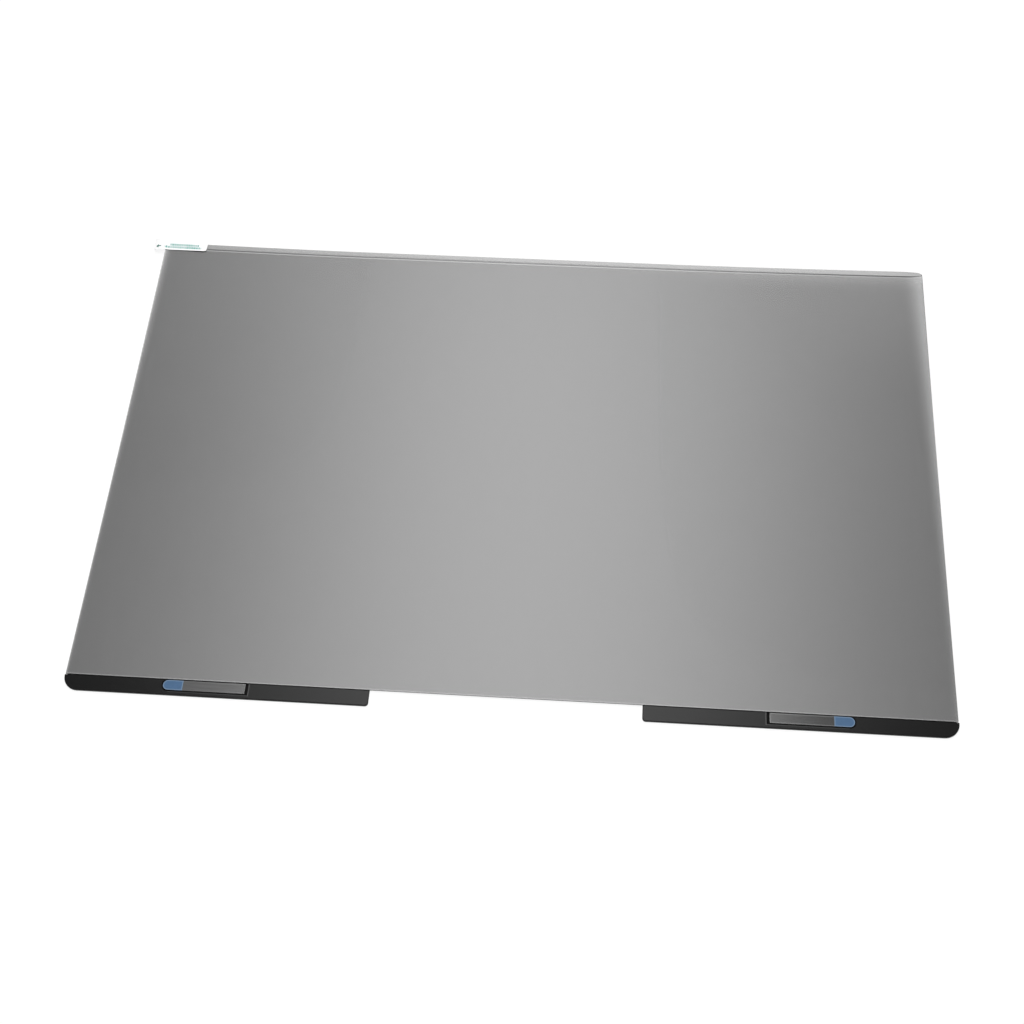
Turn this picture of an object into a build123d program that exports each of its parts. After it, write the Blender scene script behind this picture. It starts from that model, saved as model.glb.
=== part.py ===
from build123d import *
import os

# A magnetic laptop privacy filter, lying on the side that its user looks at.
# Millimetres, +Z up. The origin is the middle of the panel's webcam edge, at the panel's underside.
# The panel runs from there towards +Y, and the bars stand before it.

# Panel of louvred film, for a 14-inch display in the 16:10 format
panel_width = 302.0
panel_depth = 189.6
panel_thickness = 0.55
panel_corner_radius = 1.0

# Protective film on the panel's screen side, cut flush with the panel but for its far edge
film_thickness = 0.06
film_far_overhang = 2.4
film_corner_radius = 1.5

# Pull tab stuck to the film's far left corner
tab_length = 21.7
tab_width = 6.0
tab_thickness = 0.08
tab_side_overhang = 5.0  # past the panel's left edge
tab_film_overlap = 3.9
tab_corner_radius = 1.0

# Attachment bars, one on each side of the webcam
webcam_gap = 92.4
bar_body_width = 5.5
bar_side_overhang = 0.35  # past the panel's side edge
bar_floor = 0.2  # under the magnet
bar_outer_radius = 5.2
bar_inner_radius = 1.2
bar_top_fillet = 0.3
bar_bottom_fillet = 0.15

# Tongue of each bar, which the panel's edge is taped to
groove_width = 0.3  # between the panel's edge and the bar's body
tongue_thickness = 0.35
tongue_overlap = 2.5
tongue_side_inset = 0.5  # from the panel's side edge
tongue_corner_radius = 0.8
tape_thickness = 0.15
tape_margin = 0.25

# Magnet under each plate
magnet_length = 24.0
magnet_width = 3.0
magnet_thickness = 0.4
magnet_corner_radius = 0.3
magnet_clearance = 0.05

# Steel plate for the laptop's bezel, parked in a recess of each bar
plate_length = 28.2
plate_width = 3.6
plate_thickness = 0.2
plate_setback = 0.4  # from the panel's edge
plate_from_bar_end = 42.4
plate_clearance = 0.4
plate_end_clearance = 1.0  # at the square end, for a fingernail
recess_bevel = 0.12

# Adhesive on the plate, its release liner and the liner's pull tab
adhesive_thickness = 0.12
adhesive_margin = 0.15
liner_thickness = 0.08
liner_tab_length = 6.8
liner_tab_thickness = 0.05

# Levels, from the panel's underside
film_top = panel_thickness + film_thickness
tongue_top = -tape_thickness
bar_bottom = tongue_top - tongue_thickness
magnet_bottom = bar_bottom + bar_floor
plate_bottom = magnet_bottom + magnet_thickness
adhesive_bottom = plate_bottom + plate_thickness
liner_bottom = adhesive_bottom + adhesive_thickness
bar_top = liner_bottom + liner_thickness

# Places in plan, with the bars on the right hand side
right_edge = panel_width / 2
film_far_edge = panel_depth + film_far_overhang
bar_inner_end = webcam_gap / 2
bar_outer_end = right_edge + bar_side_overhang
tongue_outer_end = right_edge - tongue_side_inset
body_far = -groove_width
body_near = body_far - bar_body_width
plate_inner_end = bar_inner_end + plate_from_bar_end
plate_outer_end = plate_inner_end + plate_length
plate_middle_y = -plate_setback - plate_width / 2
magnet_middle_x = plate_inner_end + (plate_length - plate_width / 2) / 2


def sheet(left, right, near, far, corner_radius, bottom, thickness, square_near=False):
    """A flat sheet with rounded corners, or with square ones at its near edge."""
    with BuildPart() as made:
        with BuildSketch(Plane.XY.offset(bottom)) as outline:
            with Locations((left, near)):
                Rectangle(right - left, far - near, align=(Align.MIN, Align.MIN))
            corners = outline.vertices()
            fillet(corners.group_by(Axis.Y)[-1] if square_near else corners, corner_radius)
        extrude(amount=thickness)
    return made.part


def strip_outline(inner, outer, width):
    """Outline on the plate's middle line, square at its inner end and half round at its outer end."""
    radius = width / 2
    near = plate_middle_y - radius
    far = plate_middle_y + radius
    arc_start = outer - radius
    with BuildSketch() as outline:
        with BuildLine():
            Polyline((arc_start, near), (inner, near), (inner, far), (arc_start, far))
            ThreePointArc((arc_start, far), (outer, plate_middle_y), (arc_start, near))
        make_face()
    return outline.sketch


def strip(inner, outer, width, bottom, thickness):
    """A flat strip with the plate's outline."""
    return extrude(Pos(Z=bottom) * strip_outline(inner, outer, width), amount=thickness)


def privacy_panel():
    return sheet(
        -right_edge,
        right_edge,
        0,
        panel_depth,
        panel_corner_radius,
        0,
        panel_thickness,
        square_near=True,
    )


def protective_film():
    return sheet(
        -right_edge,
        right_edge,
        0,
        film_far_edge,
        film_corner_radius,
        panel_thickness,
        film_thickness,
        square_near=True,
    )


def film_pull_tab():
    left = -right_edge - tab_side_overhang
    near = film_far_edge - tab_film_overlap
    return sheet(
        left, left + tab_length, near, near + tab_width, tab_corner_radius, film_top, tab_thickness
    )


def bar_blank():
    """The bar before its pockets: a body with rounded ends, and a thin tongue that runs under the panel."""
    tongue_length = tongue_outer_end - bar_inner_end
    with BuildPart() as blank:
        with BuildSketch(Plane.XY.offset(bar_bottom)) as outline:
            with Locations((bar_inner_end, body_near)):
                Rectangle(bar_outer_end - bar_inner_end, bar_body_width, align=(Align.MIN, Align.MIN))
            with Locations((bar_inner_end, body_far)):
                Rectangle(tongue_length, tongue_overlap - body_far, align=(Align.MIN, Align.MIN))
            fillet(outline.vertices().group_by(Axis.Y)[-1], tongue_corner_radius)
            fillet(outline.vertices().group_by(Axis.Y)[0].sort_by(Axis.X)[0], bar_inner_radius)
            fillet(outline.vertices().group_by(Axis.Y)[0].sort_by(Axis.X)[-1], bar_outer_radius)
        extrude(amount=bar_top - bar_bottom)
        with BuildSketch(Plane.XY.offset(tongue_top)):
            with Locations((bar_inner_end, body_far)):
                Rectangle(tongue_length, tongue_overlap - body_far, align=(Align.MIN, Align.MIN))
        extrude(amount=bar_top - tongue_top, mode=Mode.SUBTRACT)
        top_edges = blank.faces().sort_by(Axis.Z)[-1].edges()
        fillet(top_edges.sort_by(Axis.Y)[:-1], bar_top_fillet)
        fillet(blank.faces().sort_by(Axis.Z)[0].edges(), bar_bottom_fillet)
    return blank.part


def recess():
    """The plate's recess in the bar's top, with a bevelled rim, and the magnet's pocket in its floor."""
    inner = plate_inner_end - plate_end_clearance
    outer = plate_outer_end + plate_clearance
    width = plate_width + 2 * plate_clearance
    pocket = strip(inner, outer, width, plate_bottom, bar_top - plate_bottom)
    rim = strip_outline(inner - recess_bevel, outer + recess_bevel, width + 2 * recess_bevel)
    bevel = loft([Pos(Z=bar_top) * rim, Pos(Z=bar_top - recess_bevel) * strip_outline(inner, outer, width)])
    magnet_space = magnet_block(magnet_clearance, plate_bottom - magnet_bottom)
    return pocket + bevel + magnet_space


def magnet_block(clearance, height):
    """The magnet, or with a clearance the pocket that it sits in."""
    half_length = magnet_length / 2 + clearance
    half_width = magnet_width / 2 + clearance
    return sheet(
        magnet_middle_x - half_length,
        magnet_middle_x + half_length,
        plate_middle_y - half_width,
        plate_middle_y + half_width,
        magnet_corner_radius + clearance,
        magnet_bottom,
        height,
    )


def attachment_bar():
    return bar_blank() - recess()


def bond_tape():
    return sheet(
        bar_inner_end + tape_margin,
        tongue_outer_end - tape_margin,
        tape_margin,
        tongue_overlap - tape_margin,
        tongue_corner_radius,
        tongue_top,
        tape_thickness,
    )


def magnet():
    return magnet_block(0, magnet_thickness)


def bezel_plate():
    return strip(plate_inner_end, plate_outer_end, plate_width, plate_bottom, plate_thickness)


def plate_adhesive():
    return strip(
        plate_inner_end + adhesive_margin,
        plate_outer_end - adhesive_margin,
        plate_width - 2 * adhesive_margin,
        adhesive_bottom,
        adhesive_thickness,
    )


def release_liner():
    return strip(plate_inner_end, plate_outer_end, plate_width, liner_bottom, liner_thickness)


def liner_tab():
    return strip(
        plate_outer_end - liner_tab_length, plate_outer_end, plate_width, bar_top, liner_tab_thickness
    )


pieces = {
    "privacy_panel": privacy_panel(),
    "protective_film": protective_film(),
    "film_pull_tab": film_pull_tab(),
}

# Each bar and what it carries, made on the right and mirrored to the left
paired = {
    "attachment_bar": attachment_bar(),
    "bond_tape": bond_tape(),
    "magnet": magnet(),
    "bezel_plate": bezel_plate(),
    "plate_adhesive": plate_adhesive(),
    "release_liner": release_liner(),
    "liner_tab": liner_tab(),
}
for name, piece in paired.items():
    pieces[f"right_{name}"] = piece
    pieces[f"left_{name}"] = mirror(piece, about=Plane.YZ)

os.makedirs("parts", exist_ok=True)
for name, piece in pieces.items():
    export_step(piece, f"parts/{name}.step")
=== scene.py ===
import math

import bpy
import numpy as np
from mathutils import Matrix, Vector

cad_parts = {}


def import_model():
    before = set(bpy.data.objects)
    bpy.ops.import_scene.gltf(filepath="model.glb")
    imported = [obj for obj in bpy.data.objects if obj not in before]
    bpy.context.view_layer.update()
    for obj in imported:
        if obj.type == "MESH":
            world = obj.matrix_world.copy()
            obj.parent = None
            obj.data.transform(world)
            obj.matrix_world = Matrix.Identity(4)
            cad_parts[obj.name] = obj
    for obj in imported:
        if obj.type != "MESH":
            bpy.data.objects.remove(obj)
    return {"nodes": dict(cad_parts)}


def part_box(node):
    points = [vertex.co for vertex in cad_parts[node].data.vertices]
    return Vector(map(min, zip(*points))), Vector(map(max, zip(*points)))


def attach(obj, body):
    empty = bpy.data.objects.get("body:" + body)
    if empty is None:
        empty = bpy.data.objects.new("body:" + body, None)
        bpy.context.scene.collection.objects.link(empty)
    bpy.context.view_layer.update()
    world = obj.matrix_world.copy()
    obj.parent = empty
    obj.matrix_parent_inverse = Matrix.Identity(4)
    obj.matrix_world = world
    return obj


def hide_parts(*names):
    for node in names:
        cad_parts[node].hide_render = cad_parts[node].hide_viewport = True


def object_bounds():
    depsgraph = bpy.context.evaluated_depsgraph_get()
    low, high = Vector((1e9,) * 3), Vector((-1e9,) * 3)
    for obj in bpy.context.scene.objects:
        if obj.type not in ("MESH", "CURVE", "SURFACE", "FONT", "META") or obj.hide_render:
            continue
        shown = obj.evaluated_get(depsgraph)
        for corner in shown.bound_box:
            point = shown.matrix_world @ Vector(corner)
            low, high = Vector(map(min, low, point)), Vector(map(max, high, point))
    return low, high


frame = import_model()
cad_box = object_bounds()
nodes = frame["nodes"]

# Metres, in the frame of the solids: x along the webcam edge, y across the panel, z up.
MM = 0.001

# Camera, fitted to the outlines of the panel and the bars in the photograph
PHOTO_SIZE = 1024
FOCAL_PIXELS = 1571.89
SENSOR_WIDTH = 36.0
NEAR_CLIP = 0.01
CAMERA_PLACE = Vector((27.31, -220.73, 486.06)) * MM
CAMERA_LOOK = Vector((-0.05303, 0.51702, -0.85433))
CAMERA_UP = Vector((-0.04823, 0.85321, 0.51933))

# Floor and surround, whose heights are sines of the angle above the horizon
FLOOR_SIZE = 6.0
FLOOR_GLOW = 0.85
FLOOR_ALBEDO_SEEN = 0.18
FLOOR_ALBEDO = 0.8
FILL_STRENGTH = 0.25
SURROUND_STRENGTH = 1.0
SURROUND_HEIGHT = 0.25
OVERHEAD_STRENGTH = 0.15
OVERHEAD_HEIGHT = 0.6

# Strip light
STRIP_LIGHT_PLACE = Vector((-0.032, 0.48, 0.78))
STRIP_LIGHT_AIM = Vector((-0.032, 0.42, 0.0))
STRIP_LIGHT_WIDTH = 0.42
STRIP_LIGHT_LENGTH = 1.4
STRIP_LIGHT_POWER = 9.5

# Sheet of panel and film: how far its far corners have curled up, and how far that reaches in x and y
LEFT_CORNER_LIFT = 1.2 * MM
LEFT_CORNER_REACH = (80 * MM, 110 * MM)
RIGHT_CORNER_LIFT = 1.35 * MM
RIGHT_CORNER_REACH = (100 * MM, 180 * MM)
CURL_POWER = 1.6

# Grids of the sheets: fine spacing, coarse spacing, and width of the margin that has the fine one
PANEL_GRID = (0.25 * MM, 5 * MM, 2 * MM)
FILM_GRID = (0.5 * MM, 5 * MM, 10 * MM)
TAB_GRID_X = (0.25 * MM, 0.5 * MM, 4 * MM)
TAB_GRID_Y = (0.25 * MM, 0.5 * MM, 2.5 * MM)
SHARP_ANGLE = math.radians(40)

# Panel: its louvres, and how near its edge a wall lies, where painted shade darkens the near wall beside the
# bars
PANEL_CORNER_RADIUS = 1.0 * MM
LOUVRE_SCALE = 900.0
LOUVRE_WAVER = 0.4
WALL_DEPTH = 0.05 * MM

# Painted highlight on the rim of the panel, and a painted highlight line and a painted shade line along its
# far edge: where each ends to be full, and where it has faded
PANEL_RIM = (0.28 * MM, 0.52 * MM)
DARK_LINE = (0.55 * MM, 0.65 * MM)
PALE_LINE = (0.95 * MM, 1.05 * MM)

# Film: width and edge slope of the side margins that have lifted off the panel, at their near and far ends
FILM_CORNER_RADIUS = 1.5 * MM
FILM_SEAT = 0.01 * MM
RIGHT_CURL_NEAR = (2.2 * MM, 0.08)
RIGHT_CURL_FAR = (9.0 * MM, 0.27)
LEFT_CURL_NEAR = (1.7 * MM, 0.08)
LEFT_CURL_FAR = (3.6 * MM, 0.2)
MARGIN_POWER = 1.5

# Free far edge of the film: its step down behind the panel, and the droop of its right corner
CREASE_WIDTH = 0.45 * MM
CREASE_DROP = 0.2 * MM
CREASE_LINES = 7
CREASE_CLEARANCE = 0.1 * MM
FREE_CORNER_DROOP = 0.6 * MM
FREE_CORNER_REACH = 8 * MM

# Painted sheen that makes the film paler towards its far right, broadly and then more strongly along the
# panel's far edge: reach from the panel's far edge, and the share of the half width at which it starts
BROAD_SHEEN_REACH = 60 * MM
BROAD_SHEEN_START = 0.55
FAR_SHEEN_REACH = 13 * MM
FAR_SHEEN_START = 0.1
FAR_SHEEN_POWER = 3.0

# Dark right edge of the film from a share of its depth on, and its dull far right corner
DARK_EDGE = (0.15 * MM, 0.25 * MM)
DARK_EDGE_START = 0.5
DULL_CORNER = (2 * MM, 12 * MM)
DULL_SHARE = 0.6
FILM_SPECULAR = 0.5

# Pull tab: width and edge slope of the margins that have lifted, and the droop of its free end
TAB_CORNER_RADIUS = 1.0 * MM
TAB_SEAT = 0.02 * MM
TAB_CURL_NEAR = (2.4 * MM, 0.5)
TAB_CURL_RIGHT = (3.6 * MM, 0.26)
TAB_DROOP = 0.9 * MM

# Print on the pull tab, in millimetres from its near left corner, each line a middle and a half length
PRINT_NEAR = 0.8
LINE_HEIGHT = 1.3
NEAR_LINE = (11.9, 7.4)
FAR_LINE = (12.35, 5.85)
DASHES = {"Scale": 1.0, "Mortar Size": 0.13, "Brick Width": 0.95, "Row Height": LINE_HEIGHT}
DASH_TONES = {"Color1": 1.0, "Color2": 0.6, "Mortar": 0.0}
DASH_STAGGER = 0.4
ROW_SHIFT = LINE_HEIGHT - PRINT_NEAR

# Arrow on the pull tab, in the same millimetres
ARROW_AXIS = 1.9
ARROW_TIP = 0.8
ARROW_HEAD_END = 1.9
ARROW_HEAD_SLOPE = 0.8
ARROW_STEM = (1.2, 2.9)
ARROW_STEM_HALF = 0.25

# Parking recess of a bar: clearance round the liner, and the lip round it, which gets a painted highlight
RECESS_END = 1.0 * MM
RECESS_SIDE = 0.4 * MM
RECESS_RIM = 0.1 * MM
RECESS_ROUGHNESS = 0.95
LIP_WIDTH = 0.45 * MM
SIDE_LIP_SHARE = 0.4

# Painted highlight on the rim of the liners and their tabs: where it ends to be full, and where it has faded
LINER_RIM = (0.18 * MM, 0.42 * MM)

# Tones in linear light, in pairs where a grain runs between them
LOUVRE_TONES = (0.21, 0.25)
# Painted highlight on the panel's rim
PANEL_RIM_HIGHLIGHT_TONE = 0.75
WALL_TONE = 0.3
# Painted shade on the panel's near wall beside the bars
SHADED_WALL_TONE = 0.01
HAZE_TONES = (0.039, 0.055)
# Painted sheen towards the film's far right
BROAD_SHEEN_TONE = 0.1
FAR_SHEEN_TONE = 0.2
# Painted highlight line and painted shade line along the panel's far edge; the dark tone also serves the
# film's dark right edge
PALE_LINE_HIGHLIGHT_TONE = 0.34
DARK_LINE_TONE = 0.004
PAPER_TONES = (0.88, 0.92)
BAR_TONES = (0.0025, 0.0045)
# Painted highlight on the lip of the recesses
LIP_HIGHLIGHT_TONE = 0.055
# Painted light: the left liner's face is paler than the right one's
LEFT_LINER_LIT_TONES = (0.058, 0.075)
RIGHT_LINER_SHADED_TONES = (0.006, 0.01)
# Painted highlight on the rim of the liners
LINER_RIM_HIGHLIGHT_TONE = 0.1
TAPE_TONES = (0.008, 0.02)
MAGNET_TONES = (0.5, 0.6)
PLATE_TONES = (0.42, 0.5)

# Colours in linear light, and inks as they are seen, from 0 to 255
DEEP_BLUE = (0.02, 0.088, 0.195, 1.0)
LIGHT_BLUE = (0.027, 0.1, 0.22, 1.0)
# Painted highlight on the blue tab's rim
RIM_HIGHLIGHT_BLUE = (0.12, 0.2, 0.31, 1.0)
PRINT_INK = (0, 138, 128)
ARROW_INK = (60, 110, 100)

# Values of a grain between which a ramp of tones runs
FULL_ENDS = (0.0, 1.0)
WIDE_ENDS = (0.2, 0.8)
USUAL_ENDS = (0.3, 0.7)
NARROW_ENDS = (0.35, 0.65)

# Upward part of a normal beyond which a face counts as lying flat
FLAT_NORMAL = 0.7


def grey(value):
    return (value, value, value, 1.0)


def linear(red, green, blue):
    """A colour given as it is seen, from 0 to 255, as linear light."""
    def decode(value):
        share = value / 255
        return share / 12.92 if share <= 0.04045 else ((share + 0.055) / 1.055) ** 2.4
    return (decode(red), decode(green), decode(blue), 1.0)


class NodeTree:
    """A node tree with short ways to add nodes to it."""

    def __init__(self, tree):
        self.tree = tree

    def add(self, kind, **settings):
        made = self.tree.nodes.new("ShaderNode" + kind)
        for name, value in settings.items():
            setattr(made, name, value)
        return made

    def join(self, source, target):
        self.tree.links.new(source, target)

    def split(self, vector):
        """The x, y and z parts of a vector."""
        parts = self.add("SeparateXYZ")
        self.join(vector, parts.inputs["Vector"])
        return tuple(parts.outputs)

    def math(self, operation, first, second=0.0):
        made = self.add("Math", operation=operation)
        for socket, value in zip(made.inputs, (first, second)):
            if isinstance(value, (int, float)):
                socket.default_value = value
            else:
                self.join(value, socket)
        return made.outputs["Value"]

    def both(self, first, second):
        """The product of two masks."""
        return self.math("MULTIPLY", first, second)

    def between(self, source, low, high):
        """1 where a value lies between low and high, else 0."""
        return self.both(self.math("GREATER_THAN", source, low), self.math("LESS_THAN", source, high))

    def span(self, source, low, high, start=0.0, end=1.0):
        """Carries a value that runs from start to end over to the range from low to high."""
        made = self.add("MapRange")
        for name, value in {"From Min": start, "From Max": end, "To Min": low, "To Max": high}.items():
            made.inputs[name].default_value = value
        self.join(source, made.inputs["Value"])
        return made.outputs["Result"]

    def rise(self, source, low, high):
        """Rises smoothly from 0 at low to 1 at high."""
        made = self.add("MapRange", interpolation_type="SMOOTHSTEP")
        made.inputs["From Min"].default_value = low
        made.inputs["From Max"].default_value = high
        self.join(source, made.inputs["Value"])
        return made.outputs["Result"]

    def fall(self, source, low, high):
        """Falls smoothly from 1 at low to 0 at high."""
        return self.rise(source, high, low)


class Shader(NodeTree):
    """A material with one Principled node and the nodes before it."""

    def __init__(self, name):
        self.material = bpy.data.materials.new(name)
        self.material.use_nodes = True
        super().__init__(self.material.node_tree)
        self.principled = self.tree.nodes["Principled BSDF"]

    def set(self, **values):
        """Sets sockets of the Principled node, with underscores for the spaces in their names."""
        for name, value in values.items():
            self.principled.inputs[name.replace("_", " ")].default_value = value

    def feed(self, source, name):
        self.join(source, self.principled.inputs[name])

    def place(self, stretch=(1.0, 1.0, 1.0), shift=(0.0, 0.0, 0.0)):
        """Object coordinates in metres, stretched and then shifted."""
        coordinates = self.add("TexCoord")
        mapping = self.add("Mapping")
        mapping.inputs["Scale"].default_value = stretch
        mapping.inputs["Location"].default_value = shift
        self.join(coordinates.outputs["Object"], mapping.inputs["Vector"])
        return mapping.outputs["Vector"]

    def noise(self, scale, detail=3.0, stretch=(1.0, 1.0, 1.0)):
        made = self.add("TexNoise")
        made.inputs["Scale"].default_value = scale
        made.inputs["Detail"].default_value = detail
        self.join(self.place(stretch), made.inputs["Vector"])
        return made.outputs["Fac"]

    def ramp(self, source, low, high, ends=USUAL_ENDS):
        """Colours from low to high as a value runs from end to end."""
        made = self.add("ValToRGB")
        for element, place, colour in zip(made.color_ramp.elements, ends, (low, high)):
            element.position = place
            element.color = colour
        self.join(source, made.inputs["Fac"])
        return made.outputs["Color"]

    def greys(self, source, tones, ends=USUAL_ENDS):
        """Greys between two tones as a value runs from end to end."""
        return self.ramp(source, grey(tones[0]), grey(tones[1]), ends)

    def mix(self, share, first, second):
        """Mixes two colours, each a socket or a value."""
        made = self.add("Mix", data_type="RGBA")
        self.join(share, made.inputs["Factor"])
        for socket, value in zip((made.inputs[6], made.inputs[7]), (first, second)):
            if isinstance(value, tuple):
                socket.default_value = value
            else:
                self.join(value, socket)
        return made.outputs[2]

    def roughness(self, source, low, high):
        self.feed(self.span(source, low, high), "Roughness")

    def bump(self, source, distance, strength):
        made = self.add("Bump")
        made.inputs["Distance"].default_value = distance
        made.inputs["Strength"].default_value = strength
        self.join(source, made.inputs["Height"])
        self.feed(made.outputs["Normal"], "Normal")

    def faces_up(self):
        """1 on faces that look up or down, 0 on side walls."""
        upward = self.split(self.add("NewGeometry").outputs["True Normal"])[2]
        return self.math("GREATER_THAN", self.math("ABSOLUTE", upward), FLAT_NORMAL)


def louvre_panel():
    """Dark louvred film: lines along its depth, a painted highlight that makes its rim pale at left and
    near, painted shade as a dark line at its far edge, and painted shade on its near wall beside the bars.
    """
    shader = Shader("louvre_panel")
    low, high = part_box("privacy_panel")
    wave = shader.add("TexWave", wave_type="BANDS", bands_direction="X")
    wave.inputs["Scale"].default_value = LOUVRE_SCALE
    wave.inputs["Distortion"].default_value = LOUVRE_WAVER
    shader.join(shader.place(), wave.inputs["Vector"])
    lines = wave.outputs["Fac"]
    x, y = shader.split(shader.place())[:2]
    to_left = shader.math("SUBTRACT", x, low.x)
    to_near = shader.math("SUBTRACT", y, low.y)
    to_far = shader.math("SUBTRACT", high.y, y)
    # Painted highlight: the rim at the left and near edges is made pale.
    inside = shader.rise(shader.math("MINIMUM", to_left, to_near), *PANEL_RIM)
    face = shader.mix(inside, grey(PANEL_RIM_HIGHLIGHT_TONE), shader.greys(lines, LOUVRE_TONES, FULL_ENDS))
    # Painted shade: a dark line along the far edge.
    face = shader.mix(shader.rise(to_far, *DARK_LINE), grey(DARK_LINE_TONE), face)
    # Painted shade: the near wall is made nearly black where it faces a bar across the groove.
    near_wall = shader.math("LESS_THAN", to_near, WALL_DEPTH)
    bar_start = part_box("right_attachment_bar")[0].x
    beside_bar = shader.math("GREATER_THAN", shader.math("ABSOLUTE", x), bar_start)
    walls = shader.mix(shader.both(near_wall, beside_bar), grey(WALL_TONE), grey(SHADED_WALL_TONE))
    shader.feed(shader.mix(shader.faces_up(), walls, face), "Base Color")
    shader.roughness(shader.noise(scale=90.0), 0.42, 0.52)
    shader.set(Specular_IOR_Level=0.1)
    shader.bump(lines, distance=0.004 * MM, strength=0.3)
    return shader.material


def clear_film():
    """Hazy peel-off film with the louvres' faint upright grain, with a painted sheen that makes it paler
    towards its far right, and a painted highlight line and a painted shade line over the panel's far edge.
    """
    shader = Shader("clear_film")
    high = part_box("protective_film")[1]
    grain = shader.noise(scale=260.0, detail=4.0, stretch=(6.0, 0.25, 1.0))
    haze_and_sheen = shader.greys(grain, HAZE_TONES, WIDE_ENDS)
    x, y = shader.split(shader.place())[:2]
    to_right = shader.math("SUBTRACT", high.x, x)
    to_panel_edge = shader.math("SUBTRACT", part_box("privacy_panel")[1].y, y)
    on_panel = shader.math("GREATER_THAN", to_panel_edge, 0.0)
    # Painted sheen: the film is made paler towards its far right, broadly and then more strongly along the
    # panel's far edge.
    broad_sheen = shader.fall(to_panel_edge, 0.0, BROAD_SHEEN_REACH)
    broad_sheen = shader.both(broad_sheen, shader.rise(x, BROAD_SHEEN_START * high.x, high.x))
    haze_and_sheen = shader.mix(broad_sheen, haze_and_sheen, grey(BROAD_SHEEN_TONE))
    far_sheen = shader.math("POWER", shader.fall(to_panel_edge, 0.0, FAR_SHEEN_REACH), FAR_SHEEN_POWER)
    far_sheen = shader.both(far_sheen, shader.rise(x, FAR_SHEEN_START * high.x, high.x))
    haze_and_sheen = shader.mix(far_sheen, haze_and_sheen, grey(FAR_SHEEN_TONE))
    # Painted highlight: a pale line just inside the panel's far edge.
    pale = shader.both(on_panel, shader.fall(to_panel_edge, *PALE_LINE))
    haze_and_sheen = shader.mix(pale, haze_and_sheen, grey(PALE_LINE_HIGHLIGHT_TONE))
    # Painted shade: a dark line along the panel's far edge.
    dark = shader.both(on_panel, shader.fall(to_panel_edge, *DARK_LINE))
    edge = shader.both(shader.fall(to_right, *DARK_EDGE), shader.rise(y, DARK_EDGE_START * high.y, high.y))
    shader.feed(shader.mix(shader.math("MAXIMUM", dark, edge), haze_and_sheen, grey(DARK_LINE_TONE)), "Base Color")
    corner = shader.both(dark, shader.fall(to_right, *DULL_CORNER))
    dull = shader.math("MAXIMUM", edge, shader.math("MULTIPLY", corner, DULL_SHARE))
    shader.feed(shader.span(dull, FILM_SPECULAR, 0.0), "Specular IOR Level")
    shader.roughness(grain, 0.385, 0.415)
    shader.set(Alpha=0.545, IOR=2.1)
    ripple = shader.noise(scale=900.0, detail=2.0, stretch=(4.0, 0.4, 1.0))
    shader.bump(ripple, distance=0.002 * MM, strength=0.12)
    return shader.material


def print_lines(shader, at):
    """Two lines of dashes that stand for print: rows 1 and 2 of a brick pattern."""
    x, y = shader.split(at)[:2]
    dashes = shader.add("TexBrick", offset=DASH_STAGGER)
    for name, value in DASHES.items():
        dashes.inputs[name].default_value = value
    for name, value in DASH_TONES.items():
        dashes.inputs[name].default_value = grey(value)
    shader.join(at, dashes.inputs["Vector"])
    in_far_line = shader.math("GREATER_THAN", y, 2 * LINE_HEIGHT)
    middle = shader.span(in_far_line, NEAR_LINE[0], FAR_LINE[0])
    half_length = shader.span(in_far_line, NEAR_LINE[1], FAR_LINE[1])
    from_middle = shader.math("ABSOLUTE", shader.math("SUBTRACT", x, middle))
    along = shader.math("LESS_THAN", from_middle, half_length)
    on_line = shader.both(along, shader.between(y, LINE_HEIGHT, 3 * LINE_HEIGHT))
    return shader.both(on_line, dashes.outputs["Color"])


def arrow(shader, at):
    """A small arrow that points to the label's left end."""
    x, y = shader.split(at)[:2]
    from_axis = shader.math("ABSOLUTE", shader.math("SUBTRACT", y, ARROW_AXIS + ROW_SHIFT))
    spread = shader.math("MULTIPLY", shader.math("SUBTRACT", x, ARROW_TIP), ARROW_HEAD_SLOPE)
    head = shader.math("LESS_THAN", from_axis, spread)
    head = shader.both(head, shader.math("LESS_THAN", x, ARROW_HEAD_END))
    stem = shader.math("LESS_THAN", from_axis, ARROW_STEM_HALF)
    stem = shader.both(stem, shader.between(x, *ARROW_STEM))
    return shader.math("MAXIMUM", head, stem)


def label_paper():
    """Coated white label with a small arrow and two lines of green print, kept to dashes."""
    shader = Shader("label_paper")
    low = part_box("film_pull_tab")[0]
    fibre = shader.noise(scale=1500.0)
    paper = shader.greys(fibre, PAPER_TONES)
    at = shader.place((1 / MM, 1 / MM, 1 / MM), (-low.x / MM, ROW_SHIFT - low.y / MM, 0.0))
    printed = shader.mix(print_lines(shader, at), paper, linear(*PRINT_INK))
    printed = shader.mix(arrow(shader, at), printed, linear(*ARROW_INK))
    shader.feed(shader.mix(shader.faces_up(), paper, printed), "Base Color")
    shader.roughness(fibre, 0.45, 0.6)
    shader.bump(fibre, distance=0.006 * MM, strength=0.3)
    return shader.material


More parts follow.
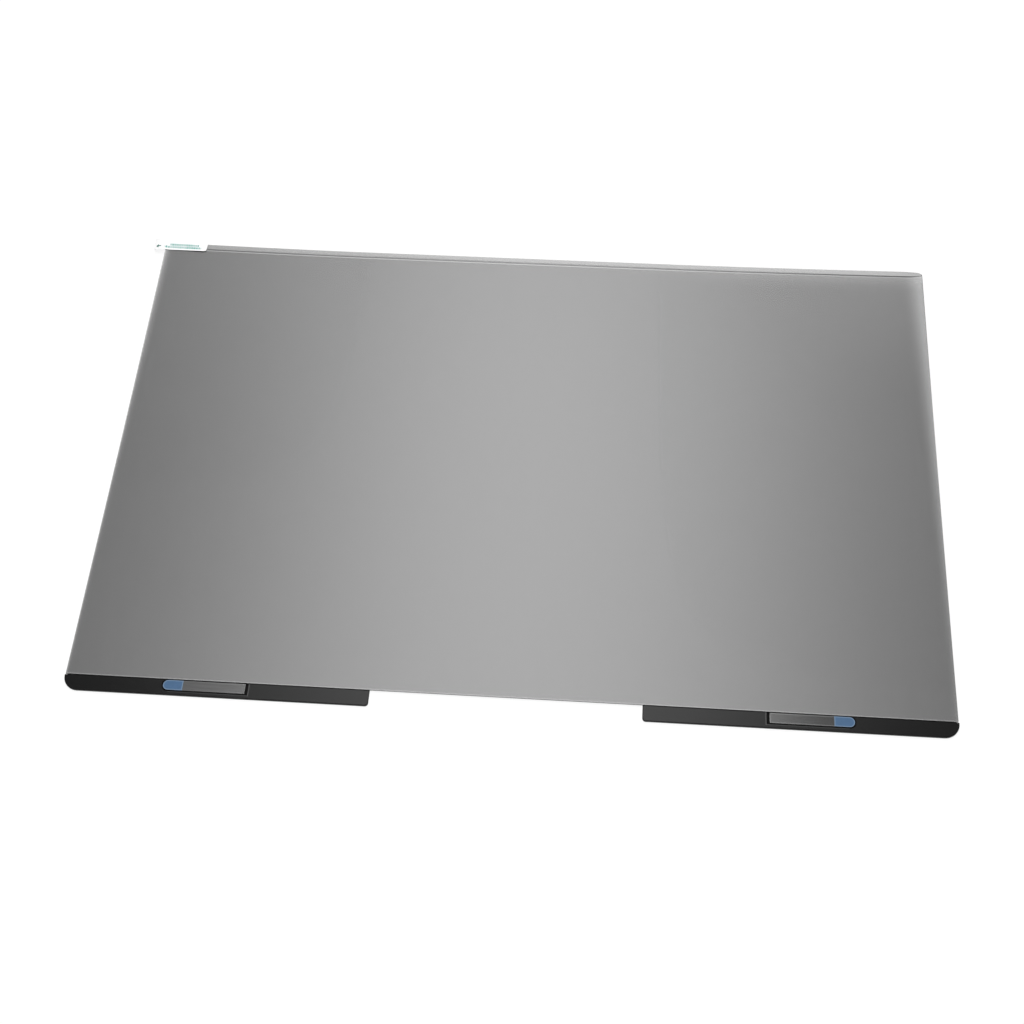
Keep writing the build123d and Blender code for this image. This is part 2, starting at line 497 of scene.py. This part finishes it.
def recess_masks(shader):
    """Inside of a bar's parking recess, and its lip, which gets a painted highlight that is fainter at the
    near side than at the end.
    """
    low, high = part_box("right_release_liner")
    x, y, z = shader.split(shader.place())
    x = shader.math("ABSOLUTE", x)
    past_end = shader.math("SUBTRACT", x, low.x - RECESS_END)
    past_side = shader.math("SUBTRACT", y, low.y - RECESS_SIDE)
    past_both = shader.math("MINIMUM", past_end, past_side)
    sunk = shader.math("LESS_THAN", z, high.z - RECESS_RIM)
    over_floor = shader.math("GREATER_THAN", past_both, -RECESS_RIM)
    over_floor = shader.both(over_floor, shader.math("LESS_THAN", x, high.x + RECESS_END))
    over_lip = shader.math("GREATER_THAN", past_both, -LIP_WIDTH)
    round_end = high.x - (high.y - low.y) / 2
    over_lip = shader.both(over_lip, shader.math("LESS_THAN", x, round_end))
    lip = shader.both(over_lip, shader.math("SUBTRACT", 1.0, sunk))
    fading = shader.span(shader.math("GREATER_THAN", past_end, 0.0), 1.0, SIDE_LIP_SHARE)
    return shader.both(over_floor, sunk), shader.both(lip, fading)


def strip_rim(shader, node):
    """1 inside a strip, falling to 0 along its rim: square at its inner end, half round at its outer end."""
    low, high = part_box(node)
    radius = (high.y - low.y) / 2
    x, y = shader.split(shader.place())[:2]
    x = shader.math("ABSOLUTE", x)
    past_arc = shader.math("MAXIMUM", shader.math("SUBTRACT", x, high.x - radius), 0.0)
    aside = shader.math("SUBTRACT", y, (low.y + high.y) / 2)
    squares = shader.math("ADD", shader.math("POWER", past_arc, 2.0), shader.math("MULTIPLY", aside, aside))
    to_rim = shader.math("SUBTRACT", radius, shader.math("SQRT", squares))
    to_rim = shader.math("MINIMUM", to_rim, shader.math("SUBTRACT", x, low.x))
    return shader.rise(to_rim, *LINER_RIM)


def black_plastic():
    """Moulded black plastic with a fine spark-eroded grain, dull in the recess, with a painted highlight
    that makes its lip paler.
    """
    shader = Shader("black_plastic")
    grain = shader.noise(scale=2600.0, detail=4.0)
    inside, lip = recess_masks(shader)
    # Painted highlight: the lip round the recess is made paler.
    shader.feed(shader.mix(lip, shader.greys(grain, BAR_TONES), grey(LIP_HIGHLIGHT_TONE)), "Base Color")
    dull = shader.math("MULTIPLY", inside, RECESS_ROUGHNESS)
    shader.feed(shader.math("MAXIMUM", shader.span(grain, 0.28, 0.34), dull), "Roughness")
    shader.set(Specular_IOR_Level=0.21)
    shader.bump(grain, distance=0.008 * MM, strength=0.3)
    return shader.material


def grey_liner():
    """Satin grey release liner with faint rolling marks, with a painted highlight on its rim, and painted
    light that makes the left one's face paler than the right one's.
    """
    shader = Shader("grey_liner")
    marks = shader.noise(scale=500.0, stretch=(0.2, 6.0, 1.0))
    on_right = shader.math("GREATER_THAN", shader.split(shader.place())[0], 0.0)
    # Painted light: the same liner is given a paler face on the left than on the right.
    lit_left_face = shader.greys(marks, LEFT_LINER_LIT_TONES)
    shaded_right_face = shader.greys(marks, RIGHT_LINER_SHADED_TONES)
    face = shader.mix(on_right, lit_left_face, shaded_right_face)
    # Painted highlight: the rim is made paler.
    inside = strip_rim(shader, "right_release_liner")
    shader.feed(shader.mix(inside, grey(LINER_RIM_HIGHLIGHT_TONE), face), "Base Color")
    shader.roughness(marks, 0.20, 0.24)
    shader.set(IOR=1.7)
    shader.bump(marks, distance=0.003 * MM, strength=0.2)
    return shader.material


def blue_tab():
    """Blue pull tab, with a painted highlight that makes it paler along its cut rim."""
    shader = Shader("blue_tab")
    blotch = shader.noise(scale=700.0)
    face = shader.ramp(blotch, DEEP_BLUE, LIGHT_BLUE)
    # Painted highlight: paler along the cut rim.
    inside = strip_rim(shader, "right_liner_tab")
    shader.feed(shader.mix(inside, RIM_HIGHLIGHT_BLUE, face), "Base Color")
    shader.roughness(blotch, 0.42, 0.52)
    shader.bump(blotch, distance=0.004 * MM, strength=0.3)
    return shader.material


def black_tape():
    """Double-sided tape, black foam with a fine open grain."""
    shader = Shader("black_tape")
    cells = shader.noise(scale=3000.0, detail=2.0)
    shader.feed(shader.greys(cells, TAPE_TONES, NARROW_ENDS), "Base Color")
    shader.roughness(cells, 0.75, 0.9)
    shader.bump(cells, distance=0.01 * MM, strength=0.5)
    return shader.material


def rolled_metal(name, tones):
    """Plated or rolled metal with fine marks along its length."""
    shader = Shader(name)
    marks = shader.noise(scale=900.0, stretch=(0.08, 3.0, 1.0))
    shader.feed(shader.greys(marks, tones), "Base Color")
    shader.roughness(marks, 0.25, 0.4)
    shader.set(Metallic=1.0)
    shader.bump(marks, distance=0.002 * MM, strength=0.3)
    return shader.material


def spaced(low, high, fine, coarse, margin):
    """Grid lines from low to high, fine within a margin of each end."""
    edge = np.arange(0.0, margin, fine)
    inner_count = max(2, round((high - low - 2 * margin) / coarse))
    inner = np.linspace(low + margin, high - margin, inner_count)
    return np.concatenate([low + edge, inner, (high - edge)[::-1]])


def round_corners(x, y, low, high, radius, square_near):
    """Draws the corner squares of a grid in to quarter discs, at the near edge only if it isn't square."""
    middle = (low + high) / 2
    reach = (high - low) / 2 - radius
    across = np.clip((np.abs(x - middle[0]) - reach[0]) / radius, 0.0, 1.0)
    along = np.clip((np.abs(y - middle[1]) - reach[1]) / radius, 0.0, 1.0)
    if square_near:
        along = np.where(y < middle[1], 0.0, along)
    drawn_x = across * np.sqrt(1 - along**2 / 2)
    drawn_y = along * np.sqrt(1 - across**2 / 2)
    corner = (across > 0) & (along > 0)
    x = np.where(corner, middle[0] + np.sign(x - middle[0]) * (reach[0] + radius * drawn_x), x)
    y = np.where(corner, middle[1] + np.sign(y - middle[1]) * (reach[1] + radius * drawn_y), y)
    return x, y


def thin_sheet(name, x_lines, y_lines, corner_radius, bottom, thickness, lift, square_near=False):
    """A closed thin sheet on a grid, with rounded corners and a lift at each place."""
    low = np.array([x_lines[0], y_lines[0]])
    high = np.array([x_lines[-1], y_lines[-1]])
    x, y = (a.ravel() for a in np.meshgrid(x_lines, y_lines))
    x, y = round_corners(x, y, low, high, corner_radius, square_near)
    z = bottom + lift(x, y)
    under = np.column_stack([x, y, z])
    over = np.column_stack([x, y, z + thickness])
    columns, rows = len(x_lines), len(y_lines)
    count = columns * rows
    faces = []
    for row in range(rows - 1):
        for column in range(columns - 1):
            a = row * columns + column
            b, c, d = a + 1, a + columns + 1, a + columns
            faces.append((a + count, b + count, c + count, d + count))
            faces.append((d, c, b, a))
    ring = list(range(columns))
    ring += [row * columns + columns - 1 for row in range(1, rows)]
    ring += [count - 1 - column for column in range(1, columns)]
    ring += [row * columns for row in range(rows - 2, 0, -1)]
    for a, b in zip(ring, ring[1:] + ring[:1]):
        faces.append((a, b, b + count, a + count))
    mesh = bpy.data.meshes.new(name)
    mesh.from_pydata(np.concatenate([under, over]).tolist(), [], faces)
    mesh.polygons.foreach_set("use_smooth", [True] * len(mesh.polygons))
    mesh.set_sharp_from_angle(angle=SHARP_ANGLE)
    made = bpy.data.objects.new(name, mesh)
    bpy.context.scene.collection.objects.link(made)
    return made


def lifted_margin(inward, width, slope):
    """Lift of a margin that curls up to a slope at its edge."""
    return slope / (3 * width**2) * np.clip(width - inward, 0.0, None) ** 3


def blend(first, second, share):
    return [a + (b - a) * share for a, b in zip(first, second)]


def fade(distance, reach):
    """Falls from 1 to 0 over a reach, and levels out there."""
    return np.clip(1 - distance / reach, 0.0, 1.0) ** CURL_POWER


def sheet_lift(x, y):
    """Lift of the whole sheet, whose far corners have curled up a little."""
    low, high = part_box("protective_film")
    back = high.y - y
    left = LEFT_CORNER_LIFT * fade(x - low.x, LEFT_CORNER_REACH[0]) * fade(back, LEFT_CORNER_REACH[1])
    right = RIGHT_CORNER_LIFT * fade(high.x - x, RIGHT_CORNER_REACH[0]) * fade(back, RIGHT_CORNER_REACH[1])
    return left + right


def film_lift(x, y):
    """Lift of the film: that of the sheet, with lifted side margins and a free far edge that droops."""
    low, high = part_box("protective_film")
    along = ((y - low.y) / (high.y - low.y)) ** MARGIN_POWER
    right = lifted_margin(high.x - x, *blend(RIGHT_CURL_NEAR, RIGHT_CURL_FAR, along))
    left = lifted_margin(x - low.x, *blend(LEFT_CURL_NEAR, LEFT_CURL_FAR, along))
    panel_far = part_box("privacy_panel")[1].y
    past_panel = y - panel_far
    behind = np.clip(past_panel / CREASE_WIDTH, 0.0, 1.0)
    free = np.clip(past_panel / (high.y - panel_far), 0.0, 1.0)
    droop = FREE_CORNER_DROOP * fade(high.x - x, FREE_CORNER_REACH) * free
    step = CREASE_DROP * behind**2 * (3 - 2 * behind)
    return sheet_lift(x, y) + (right + left) * (1 - free) - step - droop


def tab_lift(x, y):
    """Lift of the pull tab: that of the film under it, with raised margins and a free end that droops."""
    low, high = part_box("film_pull_tab")
    film_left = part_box("protective_film")[0].x
    panel_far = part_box("privacy_panel")[1].y
    near = lifted_margin(y - low.y, *TAB_CURL_NEAR) * (x - low.x) / (high.x - low.x)
    right = lifted_margin(high.x - x, *TAB_CURL_RIGHT)
    droop = TAB_DROOP * np.clip((film_left - x) / (film_left - low.x), 0.0, 1.0) ** 2
    return film_lift(np.maximum(x, film_left), np.minimum(y, panel_far)) + np.maximum(near, right) - droop


def stand_in(node, made, material):
    """Puts a made piece in the place of a solid."""
    made.data.materials.append(material)
    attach(made, "root")
    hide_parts(node)


def panel_piece():
    """The panel, with the curl of the sheet."""
    low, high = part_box("privacy_panel")
    x_lines = spaced(low.x, high.x, *PANEL_GRID)
    y_lines = spaced(low.y, high.y, *PANEL_GRID)
    made = thin_sheet(
        "privacy_panel_sheet", x_lines, y_lines, PANEL_CORNER_RADIUS,
        low.z, high.z - low.z, sheet_lift, square_near=True,
    )
    stand_in("privacy_panel", made, louvre_panel())


def film_piece():
    """The peel-off film, its side margins lifted a little, with close grid lines across its crease."""
    low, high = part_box("protective_film")
    panel_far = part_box("privacy_panel")[1].y
    crease_end = panel_far + CREASE_WIDTH
    x_lines = spaced(low.x, high.x, *FILM_GRID)
    y_lines = spaced(low.y, high.y, *FILM_GRID)
    apart = (y_lines < panel_far - CREASE_CLEARANCE) | (y_lines > crease_end + CREASE_CLEARANCE)
    y_lines = np.sort(np.append(y_lines[apart], np.linspace(panel_far, crease_end, CREASE_LINES)))
    bottom = low.z + FILM_SEAT
    made = thin_sheet(
        "protective_film_sheet", x_lines, y_lines, FILM_CORNER_RADIUS,
        bottom, high.z - bottom, film_lift, square_near=True,
    )
    made.visible_shadow = False
    stand_in("protective_film", made, clear_film())


def tab_piece():
    """The film's pull tab, with raised margins and a drooping end."""
    low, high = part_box("film_pull_tab")
    x_lines = spaced(low.x, high.x, *TAB_GRID_X)
    y_lines = spaced(low.y, high.y, *TAB_GRID_Y)
    made = thin_sheet(
        "film_pull_tab_sheet", x_lines, y_lines, TAB_CORNER_RADIUS,
        low.z + TAB_SEAT, high.z - low.z, tab_lift,
    )
    stand_in("film_pull_tab", made, label_paper())


def dress_pair(material, name):
    """Gives a material to the left and the right solid of a name."""
    for side in ("left_", "right_"):
        data = nodes[side + name].data
        data.materials.clear()
        data.materials.append(material)


def seen_as_backdrop(tree):
    """1 for rays that show the backdrop: from the camera, or off gloss or through clear things."""
    path = tree.add("LightPath")
    seen = path.outputs["Is Camera Ray"]
    for name in ("Is Glossy Ray", "Is Transmission Ray"):
        seen = tree.math("MAXIMUM", seen, path.outputs[name])
    return seen


def floor():
    """A plain pale floor that glows white to the camera and still takes a soft shadow."""
    half = FLOOR_SIZE / 2
    level = cad_box[0].z
    corners = [(-half, -half, level), (half, -half, level), (half, half, level), (-half, half, level)]
    mesh = bpy.data.meshes.new("floor")
    mesh.from_pydata(corners, [], [(0, 1, 2, 3)])
    shader = Shader("floor")
    seen = seen_as_backdrop(shader)
    shader.feed(shader.mix(seen, grey(FLOOR_ALBEDO), grey(FLOOR_ALBEDO_SEEN)), "Base Color")
    shader.feed(shader.math("MULTIPLY", seen, FLOOR_GLOW), "Emission Strength")
    shader.set(Roughness=1.0, Specular_IOR_Level=0.0, Emission_Color=grey(1.0))
    mesh.materials.append(shader.material)
    made = bpy.data.objects.new("floor", mesh)
    bpy.context.scene.collection.objects.link(made)


def world():
    """Even fill light, seen as a white surround that dims overhead."""
    made = bpy.data.worlds.new("studio")
    made.use_nodes = True
    sky = NodeTree(made.node_tree)
    background = sky.tree.nodes["Background"]
    background.inputs["Color"].default_value = grey(1.0)
    height = sky.split(sky.add("TexCoord").outputs["Generated"])[2]
    surround = sky.span(height, SURROUND_STRENGTH, OVERHEAD_STRENGTH, SURROUND_HEIGHT, OVERHEAD_HEIGHT)
    strength = sky.add("Mix")
    strength.inputs["A"].default_value = FILL_STRENGTH
    sky.join(seen_as_backdrop(sky), strength.inputs["Factor"])
    sky.join(surround, strength.inputs["B"])
    sky.join(strength.outputs["Result"], background.inputs["Strength"])
    bpy.context.scene.world = made


def strip_light():
    """A long softbox behind the panel, whose reflection makes the bright band down its middle."""
    data = bpy.data.lights.new("strip_light", "AREA")
    data.shape = "RECTANGLE"
    data.size = STRIP_LIGHT_WIDTH
    data.size_y = STRIP_LIGHT_LENGTH
    data.energy = STRIP_LIGHT_POWER
    made = bpy.data.objects.new("strip_light", data)
    made.location = STRIP_LIGHT_PLACE
    made.rotation_mode = "QUATERNION"
    made.rotation_quaternion = (STRIP_LIGHT_AIM - STRIP_LIGHT_PLACE).to_track_quat("-Z", "Y")
    bpy.context.scene.collection.objects.link(made)


def camera():
    """The photograph's camera."""
    data = bpy.data.cameras.new("camera")
    data.sensor_width = SENSOR_WIDTH
    data.lens = FOCAL_PIXELS * SENSOR_WIDTH / PHOTO_SIZE
    data.clip_start = NEAR_CLIP
    made = bpy.data.objects.new("camera", data)
    right = CAMERA_LOOK.cross(CAMERA_UP).normalized()
    up = right.cross(CAMERA_LOOK).normalized()
    turn = Matrix((right, up, -CAMERA_LOOK.normalized())).transposed()
    made.matrix_world = Matrix.LocRotScale(CAMERA_PLACE, turn.to_quaternion(), None)
    bpy.context.scene.collection.objects.link(made)
    bpy.context.scene.camera = made


dress_pair(black_plastic(), "attachment_bar")
tape = black_tape()
dress_pair(tape, "bond_tape")
dress_pair(tape, "plate_adhesive")
dress_pair(rolled_metal("magnet_nickel", MAGNET_TONES), "magnet")
dress_pair(rolled_metal("plate_steel", PLATE_TONES), "bezel_plate")
dress_pair(grey_liner(), "release_liner")
dress_pair(blue_tab(), "liner_tab")
panel_piece()
film_piece()
tab_piece()
floor()
world()
strip_light()
camera()
bpy.context.scene.view_settings.view_transform = "Standard"
